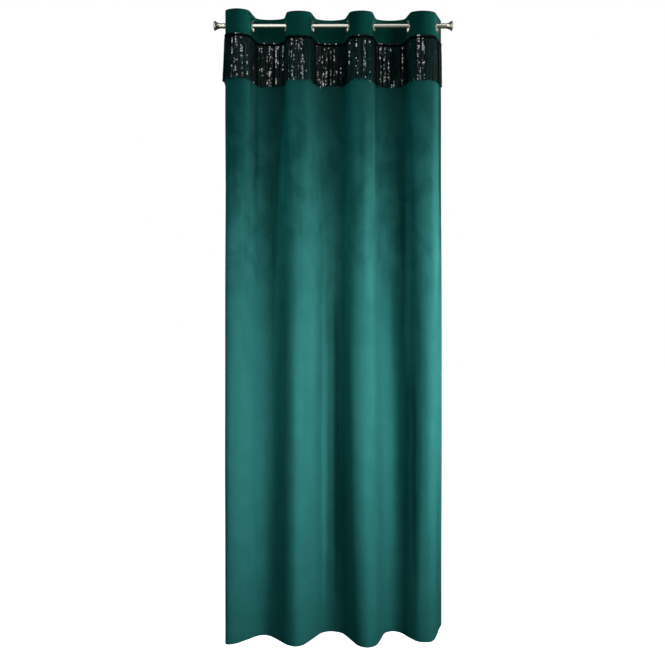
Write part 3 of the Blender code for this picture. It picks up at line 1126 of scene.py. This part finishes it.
def fringe_sequins(heading, finish):
    """The sequins down every string, and a row of them along the top of the tape."""
    shape, corners = sequin_model()
    chance = np.random.default_rng(SEQUIN_SEED)
    centres, yaws, tilts = [], [], []
    for middle, foot, fall, stagger in string_paths(heading):
        first = FRINGE_TOP - TAPE_HEIGHT - chance.uniform(0.4, 1.2) * SEQUIN_RADIUS
        z = np.arange(first, foot + 0.5 * SEQUIN_RADIUS, -SEQUIN_STEP)
        distance = middle + chance.normal(0.0, SEQUIN_JITTER, len(z))
        centres.append(np.column_stack([heading.point(distance, string_off(z, foot, fall, stagger)), z]))
        twist = np.clip(chance.normal(0.0, STRING_TWIST), -MOST_TWIST, MOST_TWIST)
        wander = np.cumsum(chance.normal(0.0, SEQUIN_TWIST, len(z)))
        yaws.append(facing_of(heading, distance) + twist + wander)
        tilts.append(chance.normal(chance.normal(SEQUIN_LEAN, STRING_TILT), SEQUIN_TILT, len(z)))

    row = np.arange(TAPE_SEQUIN_STEP, PANEL_WIDTH - GAP, TAPE_SEQUIN_STEP)
    off = 0.5 * PANEL_THICKNESS + TAPE_GAP + FRINGE_THICKNESS + ROW_LIFT
    centres.append(np.column_stack([heading.point(row, off), np.full(len(row), FRINGE_TOP - SEQUIN_RADIUS)]))
    yaws.append(facing_of(heading, row) + chance.normal(0.0, ROW_TWIST, len(row)))
    tilts.append(chance.normal(SEQUIN_LEAN, STRING_TILT, len(row)))

    yaws = np.concatenate(yaws)
    turns = turns_from(yaws, np.concatenate(tilts), chance.uniform(0.0, math.pi, len(yaws)))
    points, faces = placed(SEQUIN_RADIUS * shape, corners, np.vstack(centres), turns)
    piece = mesh_piece("fringe_sequins", points, faces)
    piece.data.shade_flat()
    piece.data.materials.append(finish)
    return piece


def tube(path, radius, first):
    """Points and faces of a closed four-sided tube down a path, numbered from first."""
    sides = 4
    angles = 2 * math.pi * np.arange(sides) / sides
    ring = radius * np.column_stack([np.cos(angles), np.sin(angles), np.zeros(sides)])
    points = (path[:, None, :] + ring[None, :, :]).reshape(-1, 3)
    start = first + sides * np.arange(len(path) - 1)[:, None]
    here = start + np.arange(sides)
    there = start + (np.arange(sides) + 1) % sides
    walls = np.stack([here, here + sides, there + sides, there], axis=2).reshape(-1, sides)
    last = first + sides * (len(path) - 1)
    caps = [list(range(first, first + sides)), list(range(last + sides - 1, last - 1, -1))]
    return points, np.vstack([walls, caps])


def fringe_strings(heading, finish):
    """The thread that the sequins of each string hang on."""
    points, faces = [], []
    for middle, foot, fall, stagger in string_paths(heading):
        z = np.linspace(FRINGE_TOP - 0.5 * TAPE_HEIGHT, foot, STRING_POINTS)
        places = np.full(len(z), middle)
        path = np.column_stack([heading.point(places, string_off(z, foot, fall, stagger)), z])
        made, walls = tube(path, STRING_RADIUS, sum(map(len, points)))
        points.append(made)
        faces.append(walls)
    piece = mesh_piece("fringe_strings", np.vstack(points), np.vstack(faces))
    piece.data.materials.append(finish)
    return piece


# Light, floor and camera


def area_light(name, stand, aim, size, spread, power, colour):
    """A softbox on a circle round the curtain, at its stand's azimuth from -Y towards +X and height."""
    azimuth, height = stand
    data = bpy.data.lights.new(name, "AREA")
    data.shape = "RECTANGLE"
    data.size, data.size_y = size
    data.spread = math.radians(spread)
    data.energy = power
    data.color = colour
    lamp = in_scene(name, data)
    turn = math.radians(azimuth)
    place = Vector((LIGHT_DISTANCE * math.sin(turn), -LIGHT_DISTANCE * math.cos(turn), height))
    lamp.location = place
    lamp.rotation_euler = (Vector((0.0, 0.0, aim)) - place).to_track_quat("-Z", "Y").to_euler()
    return lamp


def backdrop():
    """White to the camera. As a light it grows from nothing on the left to its full strength on the right."""
    world = bpy.data.worlds.new("studio")
    bpy.context.scene.world = world
    world.use_nodes = True
    nodes, links = world.node_tree.nodes, world.node_tree.links
    background = nodes["Background"]
    seen = nodes.new("ShaderNodeLightPath")
    parts = nodes.new("ShaderNodeSeparateXYZ")
    dim = nodes.new("ShaderNodeMapRange")
    bare = nodes.new("ShaderNodeMath")
    bare.operation = "MAXIMUM"
    strength = nodes.new("ShaderNodeMix")
    colour = nodes.new("ShaderNodeMix")
    colour.data_type = "RGBA"

    limits = {"From Min": -1.0, "From Max": 1.0, "To Min": BACKDROP_LEFT, "To Max": BACKDROP_RIGHT}
    for socket, value in limits.items():
        dim.inputs[socket].default_value = value
    strength.inputs["B"].default_value = 1.0
    colour.inputs[6].default_value = (*BACKDROP_COLOUR, 1.0)
    colour.inputs[7].default_value = (1.0, 1.0, 1.0, 1.0)
    wires = (
        (nodes.new("ShaderNodeTexCoord").outputs["Generated"], parts.inputs[0]),
        (parts.outputs["X"], dim.inputs["Value"]),
        (seen.outputs["Is Camera Ray"], bare.inputs[0]),
        (seen.outputs["Is Glossy Ray"], bare.inputs[1]),
        (seen.outputs["Is Camera Ray"], strength.inputs["Factor"]),
        (dim.outputs[0], strength.inputs["A"]),
        (strength.outputs[0], background.inputs["Strength"]),
        (bare.outputs[0], colour.inputs[0]),
        (colour.outputs[2], background.inputs["Color"]),
    )
    for source, socket in wires:
        links.new(source, socket)


def studio():
    """A white backdrop, a plain floor and soft lights all round."""
    backdrop()
    floor = begin("studio_floor", bpy.ops.mesh.primitive_plane_add, size=30.0, location=(0.0, 0.0, FLOOR))
    white = Finish("pale floor", Roughness=0.8, Base_Color=(0.9, 0.9, 0.9), Emission_Color=(1.0, 1.0, 1.0))
    white.set(Emission_Strength=1.0)
    floor.data.materials.append(white.material)
    floor.visible_diffuse = False
    floor.visible_glossy = False

    for name, box in SOFTBOXES.items():
        area_light(name, *box).visible_glossy = False


def reflected_cards(shiny):
    """The cards, each lighting only the pieces that its row names."""
    for name, (*card, lit) in CARDS.items():
        lamp = area_light(name, *card)
        lamp.visible_camera = False
        group = bpy.data.collections.new(name)
        for piece in shiny[lit]:
            group.objects.link(piece)
        lamp.light_linking.receiver_collection = group


def camera():
    data = bpy.data.cameras.new("photograph_view")
    data.sensor_width = SENSOR
    data.lens = SENSOR * FOCAL_PX / PHOTO_SIDE
    data.shift_y = (HORIZON_PX - 0.5 * PHOTO_SIDE) / PHOTO_SIDE
    view = in_scene("photograph_view", data)
    across = (0.5 * PHOTO_SIDE - CENTRE_PX) * CAMERA_DISTANCE / FOCAL_PX
    view.location = (across, -CAMERA_DISTANCE, CAMERA_HEIGHT)
    view.rotation_euler = (math.pi / 2, 0.0, 0.0)
    bpy.context.scene.camera = view


def main():
    camera()
    studio()
    bpy.context.scene.view_settings.view_transform = "Standard"

    plans = {}

    def plan_at(z):
        key = round(min(z, LEVELS[0]["z"]), 6)
        if key not in plans:
            plans[key] = Plan(max(key, BOTTOM_EDGE))
        return plans[key]

    heading = plan_at(TOP_EDGE)
    crossings = heading.rod_crossings()
    finishes = {"velvet": velvet_finish(), "backing": backing_finish()}
    steel = metal_finish("satin steel", (0.74, 0.735, 0.63), 0.26)

    curtain = velvet_curtain(plan_at, crossings, finishes)
    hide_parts("velvet_panel")

    hems = side_hems(plan_at, finishes["velvet"])
    thread = thread_finish("green thread", (0.010, 0.110, 0.095), 0.2)
    seams = [foot_stitches(plan_at, thread), *side_stitches(plan_at, thread)]

    tape = fringe_tape(heading, tape_finish())
    sequins = fringe_sequins(heading, sequin_finish())
    strings = fringe_strings(heading, thread_finish("black thread", (0.01, 0.01, 0.011), 0.1))
    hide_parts("sequin_fringe")

    bar = rod(steel)
    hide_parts("rod")
    ends = [finial("rod_finial_left", -1, steel), finial("rod_finial_right", 1, steel)]
    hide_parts("finial_left")
    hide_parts("finial_right")
    rings = eyelets(crossings, steel)
    for number, ring in enumerate(rings, 1):
        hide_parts(f"eyelet_{number}")

    reflected_cards({"metal": [bar, *ends, *rings], "sequins": [sequins]})
    sewn = [*hems, *seams, tape, sequins, strings, *rings]
    for piece in (curtain, bar, *ends, *sewn):
        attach(piece, "root")


main()
